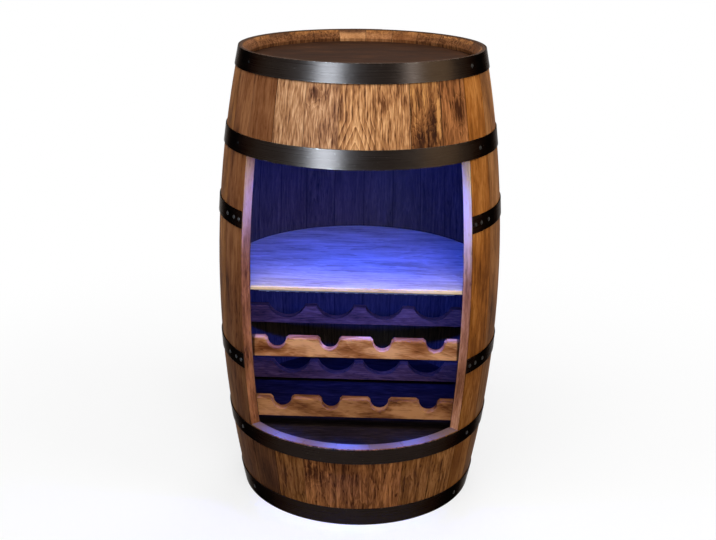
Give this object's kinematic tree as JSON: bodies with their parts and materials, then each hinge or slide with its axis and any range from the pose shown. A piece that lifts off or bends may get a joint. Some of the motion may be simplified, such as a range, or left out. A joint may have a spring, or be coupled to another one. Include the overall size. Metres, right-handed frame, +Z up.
{
  "type": "barrel bar cabinet",
  "caption": "Upright wooden barrel cabinet with steel hoops, an open front, a lit shelf for bottles and a notched rack for lying bottles.",
  "frame": {"origin": "on the barrel's axis, at the floor", "axes": "+Z up along the barrel; the opening faces -Y; +X is to the right of someone facing the opening"},
  "size_m": [0.4988, 0.4861, 0.8],
  "materials": {
    "stave_wood": "walnut-stained softwood, brushed grain, thin satin varnish",
    "head_wood": "dark walnut stain, satin varnish",
    "floor_wood": "dark walnut stain, satin varnish",
    "shelf_wood": "pale varnished softwood",
    "rail_wood": "light walnut stain, satin varnish",
    "cleat_wood": "plain sawn softwood",
    "hoop_steel": "blackened rolled steel, lightly brushed, semi-gloss",
    "nail_steel": "blackened steel with rubbed heads",
    "screw_steel": "yellow zinc plated",
    "strip_silicone": "milky silicone over a white tape",
    "led_chip": "lit blue",
    "controller_plastic": "fine-grained black moulding",
    "pad_foam": "black foam tape",
    "grommet_rubber": "matt black"
  },
  "bodies": {
    "root": {"bottom_head": "head_wood", "cabinet_floor": "floor_wood", "cable_grommet": "grommet_rubber", "cleat_screws": "screw_steel", "controller_pad": "pad_foam", "floor_cleats": "cleat_wood", "front_rail_lower": "rail_wood", "front_rail_upper": "rail_wood", "full_stave_01": "stave_wood", "full_stave_02": "stave_wood", "full_stave_03": "stave_wood", "full_stave_04": "stave_wood", "full_stave_05": "stave_wood", "full_stave_06": "stave_wood", "full_stave_07": "stave_wood", "full_stave_08": "stave_wood", "full_stave_09": "stave_wood", "full_stave_10": "stave_wood", "full_stave_11": "stave_wood", "full_stave_12": "stave_wood", "full_stave_13": "stave_wood", "full_stave_14": "stave_wood", "full_stave_15": "stave_wood", "full_stave_16": "stave_wood", "full_stave_17": "stave_wood", "full_stave_18": "stave_wood", "hoop_bottom_chime": "hoop_steel", "hoop_bottom_quarter": "hoop_steel", "hoop_lower_bilge": "hoop_steel", "hoop_nails": "nail_steel", "hoop_rivets": "nail_steel", "hoop_top_chime": "hoop_steel", "hoop_top_quarter": "hoop_steel", "hoop_upper_bilge": "hoop_steel", "led_chips_shelf": "led_chip", "led_chips_top": "led_chip", "led_controller": "controller_plastic", "led_strip_shelf": "strip_silicone", "led_strip_top": "strip_silicone", "lower_stave_1": "stave_wood", "lower_stave_2": "stave_wood", "lower_stave_3": "stave_wood", "lower_stave_4": "stave_wood", "lower_stave_5": "stave_wood", "lower_stave_6": "stave_wood", "lower_stave_7": "stave_wood", "rail_dowels": "cleat_wood", "rear_rail_lower": "rail_wood", "rear_rail_upper": "rail_wood", "shelf": "shelf_wood", "shelf_cleats": "cleat_wood", "top_head": "head_wood", "upper_stave_1": "stave_wood", "upper_stave_2": "stave_wood", "upper_stave_3": "stave_wood", "upper_stave_4": "stave_wood", "upper_stave_5": "stave_wood", "upper_stave_6": "stave_wood", "upper_stave_7": "stave_wood"}
  },
  "joints": []
}
